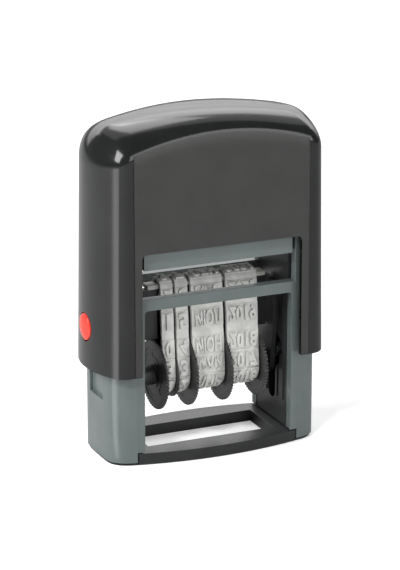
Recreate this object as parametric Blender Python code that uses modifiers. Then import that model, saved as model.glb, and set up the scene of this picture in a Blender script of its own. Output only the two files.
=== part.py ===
"""A self-inking date stamp: a sprung cap turns a wheel dater over between its ink pad and the paper.

Metres, +Z up. The origin is at the centre of the footprint, the front faces -Y and +X is to the right.
The stamp stands as it rests in its lock: the print line faces up, just below the ink pad.
"""

import math

import bmesh
import bpy
from mathutils import Matrix, Vector

# Motion: the cap's travel, and the dater's reach from its turning axis
TRAVEL = 0.0225
PRINT_REACH = 0.0102
LOCK_DROP = 0.0051
WHEEL_DROP = 0.01435
PIN_OFFSET = 0.0050
CAP_FLOOR_GAP = 0.0003

# Gaps between pieces that rest on, slide in or turn in each other
SEAT_GAP = 0.0003
TURN_GAP = 0.0002
SIDE_GAP = 0.00015
OVERRUN = 0.004
WELD = 0.000001

# Dater: side plates, axle, print bridge, wheels and bands
SIDE_PLATE = 0.0012
PLATE_TOP_DROP = 0.0033
PLATE_NOSE = 0.0010
PLATE_NOSE_DEPTH = 0.0052
PLATE_HUB = 0.0045
PLATE_FOOT = 0.0032
TRUNNION_RADIUS = 0.0016
PIN_RADIUS = 0.00095
PIN_DEPTH = 0.0010
AXLE_RADIUS = 0.00125
SLEEVE_RADIUS = 0.0024
DISC_RADIUS = 0.0085
DISC_TOOTH = 0.00035
DISC_TEETH = 56
DISC_THICKNESS = 0.0006
SEPARATOR_RADIUS = 0.0059
SEPARATOR_THICKNESS = 0.0004
DRUM_RADIUS = 0.0034
DAY_BAND_WIDTH = 0.0031
WIDE_BAND_WIDTH = 0.0082
STACK_SHIFT = 0.0010
RIGHT_SLEEVE = 0.0023
BAND_THICKNESS = 0.0008
CHARACTER_RISE = 0.0007
BAND_NOSE = 0.0005
BRIDGE_DEPTH = 0.0032
BRIDGE_HEIGHT = 0.0024
BRIDGE_TAB = 0.0021
WEB_DEPTH = 0.0018
WEB_CLEARANCE = 0.0006

# Base housing, its windows and bars
BASE_FACE_DEPTH = 0.0220
BASE_BULGE = 0.0004
BASE_SQUARENESS = 5.1
SIDE_WALL = 0.0022
ARM_ROOM = 0.0019
CORNER_GAP = 0.0025
CORNER_WALL = 0.0009
CORNER_CUT_SHARES = (1 / 6, 1 / 2)
FACE_WALL = 0.0025
WINDOW_GAP = 0.00065
WINDOW_CORNER = 0.0009
BAR_HEIGHT = 0.0027
SLOT_HEIGHT = 0.0071
SLOT_GAP = 0.0008
DECK = 0.0008
POST_RADIUS = 0.0045
POST_HEIGHT = 0.0030
RECESS_WIDTH = 0.0081
RECESS_DEPTH = 0.0009
RECESS_FOOT = 0.0152

# Foot frame
SOLE = 0.0004
SOLE_INSET = 0.0004
RAIL_HEIGHT = 0.0029
RAIL_DEPTH = 0.0040
RAIL_BOW = 0.0012
RAIL_OVERLAP = 0.0015
APERTURE_WIDTH = 0.0330

# Cam plates
CAM_SETBACK = 0.00015
CAM_PLATE = 0.0021
CAM_END_GAP = 0.0004
RIB_HEIGHT = 0.0003
RIB_WIDTH = 0.0007
GUIDE_RIB = 0.0029
RIB_INSET = 0.0018
RIB_FOOT = 0.0095

# Ink pad and its cassette
CASSETTE_OVERLAP = 0.0007
CASSETTE_HEIGHT = 0.0042
CASSETTE_FACE_INSET = 0.0002
CASSETTE_FACE = 0.0015
CASSETTE_WALL = 0.0015
CASSETTE_ROOF = 0.0013
FLANGE = 0.0006
FLANGE_HEIGHT = 0.0008
PAD_RECESS = 0.0001

# Yoke
YOKE_GAP = 0.0004
YOKE_ARM = 0.0013
YOKE_DEPTH = 0.0084
YOKE_FOOT = 0.0032
CROSSBAR = 0.0014
CROSSBAR_GAP = 0.0003
RING_RADIUS = 0.0090
RING_WALL = 0.0018
RING_HEIGHT = 0.0048

# Main spring
SPRING_RADIUS = 0.0055
SPRING_WIRE = 0.0009
SPRING_TURNS = 6
SPRING_STEPS = 12

# Cap
CAP_WALL = 0.0013
CAP_SIDE_GAP = 0.0016
CAP_FACE_GAP = 0.0008
CAP_END_RADIUS = 0.0220
CAP_EDGE_RADIUS = 0.0040
ROOF_ROOM = 0.0015
CAP_ARCH_FALL = 0.00405
CAP_CORNER = 0.0063
CAP_CORNER_DROP = 0.0083
CAP_SHOULDER = 0.00387
CORNER_SPREAD = 2
CAP_RIDGE = 0.0010
CAP_DRAFT = 0.0007
CAP_LEAN = 0.0005
PANEL_RISE = 0.0003
PANEL_INSET = 0.0077
PANEL_ROOT = 0.0007
PANEL_ARCH_FALL = 0.0034
CAP_WINDOW_MARGIN = 0.0015
CAP_WINDOW_GAP = 0.0004
CAP_WINDOW_CORNER = 0.0013

# Lock buttons
BUTTON_RADIUS = 0.00325
BUTTON_LIP = 0.0006
BUTTON_LIP_THICKNESS = 0.0007
BUTTON_SINK = 0.0001
BUTTON_DOME = 0.0007

# Facets
PLAN_STEPS = 16
ARC_STEPS = 6
ROUND_SIDES = 24
LOOP_STEPS = 44
GROOVE_STEPS = 20
BOW_STEPS = 12
END_STEPS = 6
EDGE_STEPS = 6
FACE_STEPS = 5
SHOULDER_RINGS = 8

# Heights above the floor that the pieces share
AXIS_HEIGHT = TRAVEL + PRINT_REACH
WHEEL_HEIGHT = AXIS_HEIGHT - WHEEL_DROP
PAD_HEIGHT = AXIS_HEIGHT + PRINT_REACH + LOCK_DROP
BAR_TOP = PAD_HEIGHT - SLOT_HEIGHT
BAR_BOTTOM = BAR_TOP - BAR_HEIGHT
CASSETTE_TOP = PAD_HEIGHT + CASSETTE_HEIGHT
DECK_BOTTOM = CASSETTE_TOP + SEAT_GAP
DECK_TOP = DECK_BOTTOM + DECK
BASE_BOTTOM = SOLE + SEAT_GAP
CAP_FOOT = TRAVEL + CAP_FLOOR_GAP
CAP_WINDOW_TOP = CASSETTE_TOP + CAP_WINDOW_GAP
CROSSBAR_BOTTOM = DECK_TOP + TRAVEL + CROSSBAR_GAP
CAP_TOP = CROSSBAR_BOTTOM + RING_HEIGHT + ROOF_ROOM + CAP_WALL

# Half widths and half depths that the pieces share
STACK_BANDS = 2 * DAY_BAND_WIDTH + 2 * WIDE_BAND_WIDTH
STACK_LENGTH = STACK_BANDS + 4 * DISC_THICKNESS + SEPARATOR_THICKNESS + 8 * SIDE_GAP
DATER_HALF = STACK_LENGTH / 2 + STACK_SHIFT + RIGHT_SLEEVE + 2 * SEAT_GAP + SIDE_PLATE
WINDOW_HALF = DATER_HALF + WINDOW_GAP
CASSETTE_HALF = DATER_HALF + CASSETTE_OVERLAP
SLOT_HALF = CASSETTE_HALF + SLOT_GAP
CAM_INNER = WINDOW_HALF + CAM_SETBACK
CAM_OUTER = CAM_INNER + CAM_PLATE
YOKE_INNER = CAM_OUTER + YOKE_GAP
YOKE_OUTER = YOKE_INNER + YOKE_ARM
CAVITY_HALF = YOKE_OUTER + ARM_ROOM
BASE_HALF = CAVITY_HALF + SIDE_WALL
CAVITY_DEPTH = BASE_FACE_DEPTH / 2 - FACE_WALL
CAP_HALF = BASE_HALF + CAP_SIDE_GAP + CAP_WALL
CAP_FACE = BASE_FACE_DEPTH / 2 + CAP_FACE_GAP + CAP_WALL
CAP_WINDOW_HALF = WINDOW_HALF + CAP_WINDOW_MARGIN
BUTTON_HOLE = BUTTON_RADIUS + TURN_GAP

parts = None
cutters = None


def start_scene():
    """An empty scene with one collection for the parts and one for the cutters."""
    global parts, cutters
    for old in list(bpy.data.objects):
        bpy.data.objects.remove(old, do_unlink=True)
    parts = bpy.data.collections.new("date_stamp")
    cutters = bpy.data.collections.new("cutters")
    for group in (parts, cutters):
        bpy.context.scene.collection.children.link(group)


def move_to(thing, group):
    for home in list(thing.users_collection):
        home.objects.unlink(thing)
    group.objects.link(thing)
    return thing


def finish(name, colour, roughness, metallic=0.0):
    material = bpy.data.materials.new(name)
    material.use_nodes = True
    shader = material.node_tree.nodes["Principled BSDF"]
    shader.inputs["Base Color"].default_value = (*colour, 1.0)
    shader.inputs["Roughness"].default_value = roughness
    shader.inputs["Metallic"].default_value = metallic
    return material


def wear(thing, material):
    """Gives a piece its material and smooth round faces, and files it with the parts."""
    thing.data.materials.clear()
    thing.data.materials.append(material)
    thing.data.shade_smooth()
    thing.data.set_sharp_from_angle(angle=math.radians(35))
    return move_to(thing, parts)


def as_mesh(curve_object):
    """The evaluated curve as a mesh object with its caps welded, in the curve's place."""
    bpy.context.view_layer.update()
    graph = bpy.context.evaluated_depsgraph_get()
    mesh = bpy.data.meshes.new_from_object(curve_object.evaluated_get(graph))
    work = bmesh.new()
    work.from_mesh(mesh)
    bmesh.ops.remove_doubles(work, verts=work.verts, dist=WELD)
    bmesh.ops.recalc_face_normals(work, faces=work.faces)
    work.to_mesh(mesh)
    work.free()
    name = curve_object.name
    thing = bpy.data.objects.new(name + "_mesh", mesh)
    thing.matrix_world = curve_object.matrix_world.copy()
    bpy.context.scene.collection.objects.link(thing)
    bpy.data.objects.remove(curve_object, do_unlink=True)
    thing.name = name
    return thing


def lying(plane, middle):
    """Turns a flat outline's own x, y and thickness into the plane that it is drawn in."""
    columns = {
        "XY": ((1, 0, 0), (0, 1, 0), (0, 0, 1)),
        "YZ": ((0, 1, 0), (0, 0, 1), (1, 0, 0)),
        "XZ": ((1, 0, 0), (0, 0, 1), (0, -1, 0)),
    }[plane]
    turn = Matrix(columns).transposed()
    return Matrix.Translation(Vector(turn.col[2]) * middle) @ turn.to_4x4()


def slab(name, plane, outlines, low, high):
    """A flat outline, with holes if it has more than one loop, made solid from low to high."""
    curve = bpy.data.curves.new(name, "CURVE")
    curve.dimensions = "2D"
    curve.fill_mode = "BOTH"
    curve.extrude = (high - low) / 2
    for outline in outlines:
        spline = curve.splines.new("POLY")
        spline.points.add(len(outline) - 1)
        spline.use_cyclic_u = True
        for point, (u, v) in zip(spline.points, outline):
            point.co = (u, v, 0, 1)
    thing = bpy.data.objects.new(name, curve)
    bpy.context.scene.collection.objects.link(thing)
    middle = (low + high) / 2
    thing.matrix_world = lying(plane, -middle if plane == "XZ" else middle)
    return as_mesh(thing)


def block(name, low, high):
    """A box from its lowest corner to its highest."""
    low, high = Vector(low), Vector(high)
    bpy.ops.mesh.primitive_cube_add(size=1, location=(low + high) / 2)
    thing = bpy.context.object
    thing.name = name
    thing.scale = high - low
    bpy.ops.object.transform_apply(location=False, rotation=False, scale=True)
    return thing


def rod(name, radius, start, end, height, depth=0, sides=ROUND_SIDES):
    """A round bar along X from start to end."""
    low, high = min(start, end), max(start, end)
    bpy.ops.mesh.primitive_cylinder_add(
        vertices=sides,
        radius=radius,
        depth=high - low,
        location=((low + high) / 2, depth, height),
        rotation=(0, math.pi / 2, 0),
    )
    thing = bpy.context.object
    thing.name = name
    return thing


def post(name, radius, low, high, sides=ROUND_SIDES):
    """A round bar along Z at the middle of the stamp."""
    bpy.ops.mesh.primitive_cylinder_add(
        vertices=sides, radius=radius, depth=high - low, location=(0, 0, (low + high) / 2)
    )
    thing = bpy.context.object
    thing.name = name
    return thing


def combine(target, tool, operation):
    modifier = target.modifiers.new(tool.name, "BOOLEAN")
    modifier.operation = operation
    modifier.solver = "EXACT"
    modifier.object = tool
    tool.hide_render = True
    tool.display_type = "WIRE"
    move_to(tool, cutters)


def cut(target, *tools):
    for tool in tools:
        combine(target, tool, "DIFFERENCE")


def join(target, *tools):
    for tool in tools:
        combine(target, tool, "UNION")


def circle(radius, centre=(0, 0), sides=ROUND_SIDES):
    turns = [2 * math.pi * i / sides for i in range(sides)]
    return [(centre[0] + radius * math.cos(t), centre[1] + radius * math.sin(t)) for t in turns]


def box_outline(low, high):
    return [(low[0], low[1]), (high[0], low[1]), (high[0], high[1]), (low[0], high[1])]


def round_top(half, low, high, radius):
    """A rectangle whose two upper corners are rounded."""
    points = [(-half, low), (half, low)]
    for side, start in ((1, 0), (-1, math.pi / 2)):
        for i in range(ARC_STEPS + 1):
            turn = start + i * math.pi / 2 / ARC_STEPS
            centre = (side * (half - radius), high - radius)
            points.append((centre[0] + radius * math.cos(turn), centre[1] + radius * math.sin(turn)))
    return points


def squared_plan(half_width, half_depth, squareness, face):
    """A rounded plan whose front and back are cut flat at the face."""
    points = []
    for i in range(4 * PLAN_STEPS):
        turn = 2 * math.pi * i / (4 * PLAN_STEPS)
        x = half_width * math.copysign(abs(math.cos(turn)) ** (2 / squareness), math.cos(turn))
        y = half_depth * math.copysign(abs(math.sin(turn)) ** (2 / squareness), math.sin(turn))
        points.append((x, max(-face, min(face, y))))
    return points


def round_ended_plan(half_width, face, end_radius, edge_radius):
    """A plan with a flat front and back, gently round ends and rounded edges between them."""
    centre, fall = half_width - end_radius, face - edge_radius
    run = math.sqrt((end_radius - edge_radius) ** 2 - fall ** 2)
    bend = math.atan2(fall, run)
    quarter = []
    for i in range(END_STEPS):
        turn = bend * i / END_STEPS
        quarter.append((centre + end_radius * math.cos(turn), end_radius * math.sin(turn)))
    for i in range(EDGE_STEPS + 1):
        turn = bend + (math.pi / 2 - bend) * i / EDGE_STEPS
        x, y = centre + run, fall
        quarter.append((x + edge_radius * math.cos(turn), y + edge_radius * math.sin(turn)))
    for i in range(1, FACE_STEPS + 1):
        quarter.append(((centre + run) * (1 - i / FACE_STEPS), face))
    back = quarter + [(-x, y) for x, y in reversed(quarter[:-1])]
    return back + [(x, -y) for x, y in reversed(back[1:-1])]


def wrap(rounds, steps=LOOP_STEPS):
    """The outline of a belt drawn tight round several circles, each a centre and a radius."""
    points = []
    for i in range(steps):
        turn = 2 * math.pi * (i + 0.5) / steps
        way = (math.cos(turn), math.sin(turn))
        u, v, radius = max(rounds, key=lambda r: r[0] * way[0] + r[1] * way[1] + r[2])
        points.append((u + radius * way[0], v + radius * way[1]))
    return points


def mirrored(name, source):
    """A left-hand copy of a right-hand piece, reflected in the YZ plane."""
    bpy.context.view_layer.update()
    graph = bpy.context.evaluated_depsgraph_get()
    mesh = bpy.data.meshes.new_from_object(source.evaluated_get(graph))
    mesh.transform(Matrix.Scale(-1, 4, (1, 0, 0)) @ source.matrix_world)
    mesh.flip_normals()
    thing = bpy.data.objects.new(name, mesh)
    return move_to(thing, parts)


def pivot(name, place):
    """An empty on a joint's axis, which carries the pieces that move about it."""
    empty = bpy.data.objects.new(name, None)
    empty.location = place
    parts.objects.link(empty)
    return empty


def carry(empty, things):
    bpy.context.view_layer.update()
    for thing in things:
        thing.parent = empty
        thing.matrix_parent_inverse = empty.matrix_world.inverted()


def base_outline(inset=0.0):
    """The base's plan, with only the end points of its two flat faces."""
    half = BASE_HALF - inset
    face = BASE_FACE_DEPTH / 2 - inset
    plan = squared_plan(half, face + BASE_BULGE, BASE_SQUARENESS, face)
    kept = []
    for i, point in enumerate(plan):
        before, after = plan[i - 1], plan[(i + 1) % len(plan)]
        if not before[1] == point[1] == after[1]:
            kept.append(point)
    return kept


def cap_corner(share):
    """A point of the cap's outer corner, seen from the front, a share of the way up its curve."""
    turn = share * math.pi / 2
    x = CAP_HALF - CAP_DRAFT - CAP_CORNER * (1 - math.cos(turn))
    return Vector((x, cap_roof(x) - CAP_CORNER_DROP * (1 - math.sin(turn))))


def corner_cut(side, depth=0.0):
    """The wedge outside a slanting line, clear of the pressed cap by the corner gap and this depth."""
    low, high = [cap_corner(share) - Vector((0, TRAVEL)) for share in CORNER_CUT_SHARES]
    run = (high - low).normalized()
    inward = Vector((-run.y, run.x))
    start = low + inward * (CAP_WALL + CORNER_GAP + depth)
    reach = CAP_CORNER
    corners = [start - run * reach, start + run * reach]
    corners += [corners[1] - inward * reach, corners[0] - inward * reach]
    outline = [(side * x, z) for x, z in corners]
    return slab("corner_cut", "XZ", [outline], -CAP_FACE, CAP_FACE)


def build_base_housing(material):
    """The grey casing: two hollow columns joined by the bars, with the deck on top."""
    housing = slab("base_housing", "XY", [base_outline()], BASE_BOTTOM, DECK_TOP)
    reach = BASE_FACE_DEPTH / 2 + OVERRUN
    cavity = block(
        "housing_cavity",
        (-CAVITY_HALF, -CAVITY_DEPTH, BASE_BOTTOM - OVERRUN),
        (CAVITY_HALF, CAVITY_DEPTH, DECK_BOTTOM),
    )
    window = slab(
        "housing_window",
        "XZ",
        [round_top(WINDOW_HALF, -OVERRUN, BAR_BOTTOM, WINDOW_CORNER)],
        -reach,
        reach,
    )
    slot_top = CASSETTE_TOP + SEAT_GAP / 2
    slot = block("housing_slot", (-SLOT_HALF, -reach, BAR_TOP), (SLOT_HALF, reach, slot_top))
    notch_half = WINDOW_HALF + RAIL_OVERLAP + SEAT_GAP
    notch = block(
        "rail_notch", (-notch_half, -reach, -OVERRUN), (notch_half, reach, RAIL_HEIGHT + SEAT_GAP)
    )
    cut(cavity, corner_cut(-1, CORNER_WALL), corner_cut(1, CORNER_WALL))
    cut(housing, cavity, window, slot, notch)
    for side in (-1, 1):
        inner = side * (YOKE_INNER - SEAT_GAP)
        outer = side * (YOKE_OUTER + SEAT_GAP)
        half = YOKE_DEPTH / 2 + YOKE_GAP
        arm_slot = block(
            "arm_slot",
            (min(inner, outer), -half, DECK_BOTTOM - DECK),
            (max(inner, outer), half, DECK_TOP + DECK),
        )
        floor = side * (BASE_HALF - RECESS_DEPTH)
        past = side * (BASE_HALF + OVERRUN)
        recess = block(
            "side_recess",
            (min(floor, past), -RECESS_WIDTH / 2, RECESS_FOOT),
            (max(floor, past), RECESS_WIDTH / 2, DECK_TOP + DECK),
        )
        cut(housing, arm_slot, recess, corner_cut(side))
    join(housing, post("spring_post", POST_RADIUS, DECK_BOTTOM + DECK / 2, DECK_TOP + POST_HEIGHT))
    return wear(housing, material)


def build_foot_frame(material):
    """The black frame under the columns: a thin sole, and two bowed rails round the aperture."""
    frame = slab("foot_frame", "XY", [base_outline(SOLE_INSET)], 0, SOLE)
    half = WINDOW_HALF + RAIL_OVERLAP
    end_depth = BASE_FACE_DEPTH / 2 - SOLE_INSET
    front = []
    for i in range(BOW_STEPS + 1):
        share = 2 * i / BOW_STEPS - 1
        front.append((half * share, -end_depth - RAIL_BOW * (1 - share * share)))
    back = [(-x, -y) for x, y in front]
    rails = slab("frame_rails", "XY", [front + back], SOLE / 4, RAIL_HEIGHT)
    hole_depth = end_depth - RAIL_DEPTH
    aperture = block(
        "aperture",
        (-APERTURE_WIDTH / 2, -hole_depth, -OVERRUN),
        (APERTURE_WIDTH / 2, hole_depth, RAIL_HEIGHT + OVERRUN),
    )
    join(frame, rails)
    cut(frame, aperture)
    return wear(frame, material)


def groove_outline():
    """The path that the cam pin follows while the cap goes down and the dater turns over."""
    centres = []
    for i in range(GROOVE_STEPS + 1):
        turn = math.pi * i / GROOVE_STEPS
        drop = TRAVEL * i / GROOVE_STEPS
        centres.append(
            (-PIN_OFFSET * math.sin(turn), AXIS_HEIGHT - drop - PIN_OFFSET * math.cos(turn))
        )
    half = PIN_RADIUS + SIDE_GAP
    inner_side, outer_side = [], []
    for i, (y, z) in enumerate(centres):
        before = centres[max(i - 1, 0)]
        after = centres[min(i + 1, GROOVE_STEPS)]
        run = Vector((after[0] - before[0], after[1] - before[1])).normalized()
        outer_side.append((y + half * run.y, z - half * run.x))
        inner = (y - half * run.y, z + half * run.x)
        if not inner_side or inner[1] < inner_side[-1][1]:
            inner_side.append(inner)
    return inner_side + outer_side[::-1]


def build_cam_plate(name, material):
    """The right column's black guide plate: the trunnion's slot, the cam pin's groove and ribs."""
    bottom = RAIL_HEIGHT + SEAT_GAP
    top = PAD_HEIGHT - SEAT_GAP
    half = CAVITY_DEPTH - CAM_END_GAP
    plate = slab(name, "YZ", [box_outline((-half, bottom), (half, top))], CAM_INNER, CAM_OUTER)
    slot_half = TRUNNION_RADIUS + SEAT_GAP
    slot = slab(
        "trunnion_slot",
        "YZ",
        [wrap([(0, AXIS_HEIGHT, slot_half), (0, AXIS_HEIGHT - TRAVEL, slot_half)])],
        CAM_INNER - OVERRUN,
        CAM_OUTER + OVERRUN,
    )
    groove = slab(
        "pin_groove",
        "YZ",
        [groove_outline()],
        CAM_INNER - OVERRUN,
        CAM_INNER + PIN_DEPTH + SIDE_GAP,
    )
    outer_rib = half - RIB_INSET
    for place in (-outer_rib, -GUIDE_RIB, GUIDE_RIB, outer_rib):
        rib = block(
            "guide_rib",
            (CAM_INNER - RIB_HEIGHT, place - RIB_WIDTH / 2, RIB_FOOT),
            (CAM_INNER + CAM_PLATE / 4, place + RIB_WIDTH / 2, BAR_BOTTOM),
        )
        join(plate, rib)
    cut(plate, groove, slot)
    return wear(plate, material)


def build_main_spring(material):
    """The coil that lifts the cap, between the deck and the cap's roof."""
    low = DECK_TOP + SPRING_WIRE / 2 + SEAT_GAP
    high = CAP_TOP - CAP_WALL - SPRING_WIRE / 2 - 2 * SEAT_GAP
    curve = bpy.data.curves.new("main_spring", "CURVE")
    curve.dimensions = "3D"
    curve.bevel_depth = SPRING_WIRE / 2
    curve.bevel_resolution = 1
    curve.use_fill_caps = True
    spline = curve.splines.new("POLY")
    count = SPRING_TURNS * SPRING_STEPS
    spline.points.add(count)
    for i, point in enumerate(spline.points):
        turn = 2 * math.pi * i / SPRING_STEPS
        height = low + (high - low) * i / count
        point.co = (SPRING_RADIUS * math.cos(turn), SPRING_RADIUS * math.sin(turn), height, 1)
    thing = bpy.data.objects.new("main_spring", curve)
    bpy.context.scene.collection.objects.link(thing)
    pitch = (high - low) / SPRING_TURNS
    print("main spring: least gap between turns", round((pitch - SPRING_WIRE) * 1000, 2), "mm")
    return wear(as_mesh(thing), material)


def build_pad_cassette(material):
    """The grey drawer that holds the ink pad and slides out through the slot."""
    face = BASE_FACE_DEPTH / 2 - CASSETTE_FACE_INSET
    half = CASSETTE_HALF
    cassette = block("pad_cassette", (-half, -face, PAD_HEIGHT), (half, face, CASSETTE_TOP))
    rail_half = CAVITY_DEPTH - CAM_END_GAP
    flanges = block(
        "cassette_flanges",
        (-half - FLANGE, -rail_half, PAD_HEIGHT + PAD_RECESS),
        (half + FLANGE, rail_half, PAD_HEIGHT + PAD_RECESS + FLANGE_HEIGHT),
    )
    hollow = block(
        "cassette_hollow",
        (-half + CASSETTE_WALL, -face + CASSETTE_FACE, PAD_HEIGHT - OVERRUN),
        (half - CASSETTE_WALL, face - CASSETTE_FACE, CASSETTE_TOP - CASSETTE_ROOF),
    )
    join(cassette, flanges)
    cut(cassette, hollow)
    return wear(cassette, material)


def build_ink_pad(material):
    half = CASSETTE_HALF - CASSETTE_WALL - SEAT_GAP
    depth = BASE_FACE_DEPTH / 2 - CASSETTE_FACE_INSET - CASSETTE_FACE - SEAT_GAP
    pad = block(
        "ink_pad",
        (-half, -depth, PAD_HEIGHT + PAD_RECESS),
        (half, depth, CASSETTE_TOP - CASSETTE_ROOF - SEAT_GAP),
    )
    return wear(pad, material)


def cap_roof(x):
    """The height of the cap's arched top at x."""
    return CAP_TOP - CAP_ARCH_FALL * (x / CAP_HALF) ** 2


def cap_rings():
    """Loops of points from the cap's open foot up over its shoulders."""
    plan = round_ended_plan(CAP_HALF, CAP_FACE, CAP_END_RADIUS, CAP_EDGE_RADIUS)
    crown = CAP_FACE - CAP_LEAN - CAP_RIDGE
    rings = [[(x, y, CAP_FOOT) for x, y in plan]]
    for ring in range(SHOULDER_RINGS + 1):
        turn = math.pi / 2 * ring / SHOULDER_RINGS
        draw = 1 - math.cos(turn)
        wide = (CAP_HALF - CAP_DRAFT - CAP_CORNER * draw) / CAP_HALF
        deep = (CAP_FACE - CAP_LEAN - crown * draw) / CAP_FACE
        points = []
        for x, y in plan:
            side = (abs(x) / CAP_HALF) ** CORNER_SPREAD
            drop = CAP_SHOULDER + (CAP_CORNER_DROP - CAP_SHOULDER) * side
            points.append((x * wide, y * deep, cap_roof(x * wide) - drop * (1 - math.sin(turn))))
        rings.append(points)
    return rings


def cap_surface():
    """The cap's outer surface, open at the foot, lofted through its rings and closed by its roof."""
    work = bmesh.new()
    loops = [[work.verts.new(point) for point in ring] for ring in cap_rings()]
    count = len(loops[0])
    for lower, upper in zip(loops, loops[1:]):
        for i in range(count):
            j = (i + 1) % count
            work.faces.new((lower[i], lower[j], upper[j], upper[i]))
    roof = loops[-1]
    for i in range(count // 2):
        strip = [roof[i], roof[i + 1], roof[(count - i - 1) % count], roof[(count - i) % count]]
        work.faces.new(list(dict.fromkeys(strip)))
    bmesh.ops.recalc_face_normals(work, faces=work.faces)
    mesh = bpy.data.meshes.new("cap_shell")
    work.to_mesh(mesh)
    work.free()
    return mesh


def face_panel(side):
    """The raised panel on one face of the cap, with its arched upper edge."""
    half = CAP_HALF - PANEL_INSET
    apex = CAP_TOP - CAP_SHOULDER
    outline = [(-half, CAP_FOOT + PANEL_RISE), (half, CAP_FOOT + PANEL_RISE)]
    for i in range(BOW_STEPS + 1):
        x = half - 2 * half * i / BOW_STEPS
        outline.append((x, apex - PANEL_ARCH_FALL * (x / half) ** 2))
    inner, outer = side * (CAP_FACE - PANEL_ROOT), side * (CAP_FACE + PANEL_RISE)
    panel = slab("face_panel", "XZ", [outline], min(inner, outer), max(inner, outer))
    panel.data.transform(panel.matrix_world)
    panel.matrix_world = Matrix()
    for vertex in panel.data.vertices:
        share = (vertex.co.z - CAP_FOOT) / (apex - CAP_FOOT)
        vertex.co.y -= side * CAP_LEAN * share
    return panel


def build_cap_shell(material):
    """The dark cap: a tall shell with an arched top and a window cut up each face."""
    cap = bpy.data.objects.new("cap_shell", cap_surface())
    bpy.context.scene.collection.objects.link(cap)
    wall = cap.modifiers.new("wall", "SOLIDIFY")
    wall.thickness = CAP_WALL
    wall.offset = -1
    wall.use_even_offset = True
    join(cap, face_panel(-1), face_panel(1))
    reach = CAP_FACE + OVERRUN
    window = slab(
        "cap_window",
        "XZ",
        [round_top(CAP_WINDOW_HALF, CAP_FOOT - OVERRUN, CAP_WINDOW_TOP, CAP_WINDOW_CORNER)],
        -reach,
        reach,
    )
    past = CAP_HALF + OVERRUN
    cut(cap, window, rod("button_holes", BUTTON_HOLE, -past, past, AXIS_HEIGHT))
    return wear(cap, material)


def build_yoke(material):
    """The frame under the cap's roof whose two arms carry the dater's trunnions."""
    top = CROSSBAR_BOTTOM + CROSSBAR
    foot = AXIS_HEIGHT - YOKE_FOOT
    outline = [
        (-YOKE_OUTER, foot),
        (-YOKE_INNER, foot),
        (-YOKE_INNER, CROSSBAR_BOTTOM),
        (YOKE_INNER, CROSSBAR_BOTTOM),
        (YOKE_INNER, foot),
        (YOKE_OUTER, foot),
        (YOKE_OUTER, top),
        (-YOKE_OUTER, top),
    ]
    yoke = slab("yoke", "XZ", [outline], -YOKE_DEPTH / 2, YOKE_DEPTH / 2)
    ring = post(
        "yoke_ring", RING_RADIUS, CROSSBAR_BOTTOM + CROSSBAR / 4, CROSSBAR_BOTTOM + RING_HEIGHT
    )
    bore = post(
        "yoke_bore", RING_RADIUS - RING_WALL, CROSSBAR_BOTTOM - OVERRUN, CAP_TOP + OVERRUN
    )
    past = YOKE_OUTER + OVERRUN
    join(yoke, ring)
    cut(yoke, bore, rod("trunnion_holes", TRUNNION_RADIUS + SIDE_GAP, -past, past, AXIS_HEIGHT))
    return wear(yoke, material)


def build_lock_button(name, side, material):
    """A domed button in the cap's side, with a lip that keeps it in its hole."""
    wall_inside = CAP_HALF - CAP_WALL
    lip_face = wall_inside - SEAT_GAP - CAP_DRAFT / 2
    lip_back = lip_face - BUTTON_LIP_THICKNESS
    rim = CAP_HALF - BUTTON_SINK
    profile = [(0, rim + BUTTON_DOME), (BUTTON_RADIUS / 2, rim + BUTTON_DOME * 3 / 4)]
    profile += [(BUTTON_RADIUS, rim), (BUTTON_RADIUS, lip_face)]
    profile += [(BUTTON_RADIUS + BUTTON_LIP, lip_face), (BUTTON_RADIUS + BUTTON_LIP, lip_back)]
    profile += [(0, lip_back)]
    mesh = bpy.data.meshes.new(name)
    edges = [(i, i + 1) for i in range(len(profile) - 1)]
    mesh.from_pydata([(radius, 0, height) for radius, height in profile], edges, [])
    button = bpy.data.objects.new(name, mesh)
    bpy.context.scene.collection.objects.link(button)
    turn = button.modifiers.new("turned", "SCREW")
    turn.steps = ROUND_SIDES
    turn.render_steps = ROUND_SIDES
    turn.use_merge_vertices = True
    turn.merge_threshold = WELD
    button.location = (0, 0, AXIS_HEIGHT)
    button.rotation_euler = (0, side * math.pi / 2, 0)
    return wear(button, material)


def build_side_plate(name, material):
    """The dater's right cheek, with the trunnion it turns on and the cam pin that turns it."""
    inner, outer = DATER_HALF - SIDE_PLATE, DATER_HALF
    nose_height = AXIS_HEIGHT + PRINT_REACH - PLATE_TOP_DROP - PLATE_NOSE
    nose_half = PLATE_NOSE_DEPTH / 2 - PLATE_NOSE
    outline = wrap(
        [
            (-nose_half, nose_height, PLATE_NOSE),
            (nose_half, nose_height, PLATE_NOSE),
            (0, AXIS_HEIGHT, PLATE_HUB),
            (0, WHEEL_HEIGHT, PLATE_FOOT),
        ]
    )
    plate = slab(name, "YZ", [outline], inner, outer)
    root = outer - SIDE_PLATE / 2
    trunnion = rod("trunnion", TRUNNION_RADIUS, root, YOKE_OUTER - SIDE_GAP, AXIS_HEIGHT)
    pin = rod("cam_pin", PIN_RADIUS, root, CAM_INNER + PIN_DEPTH, AXIS_HEIGHT - PIN_OFFSET)
    hole = rod(
        "axle_hole", AXLE_RADIUS + SIDE_GAP, inner - OVERRUN, outer + OVERRUN, WHEEL_HEIGHT
    )
    join(plate, trunnion, pin)
    cut(plate, hole)
    return wear(plate, material)


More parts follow.
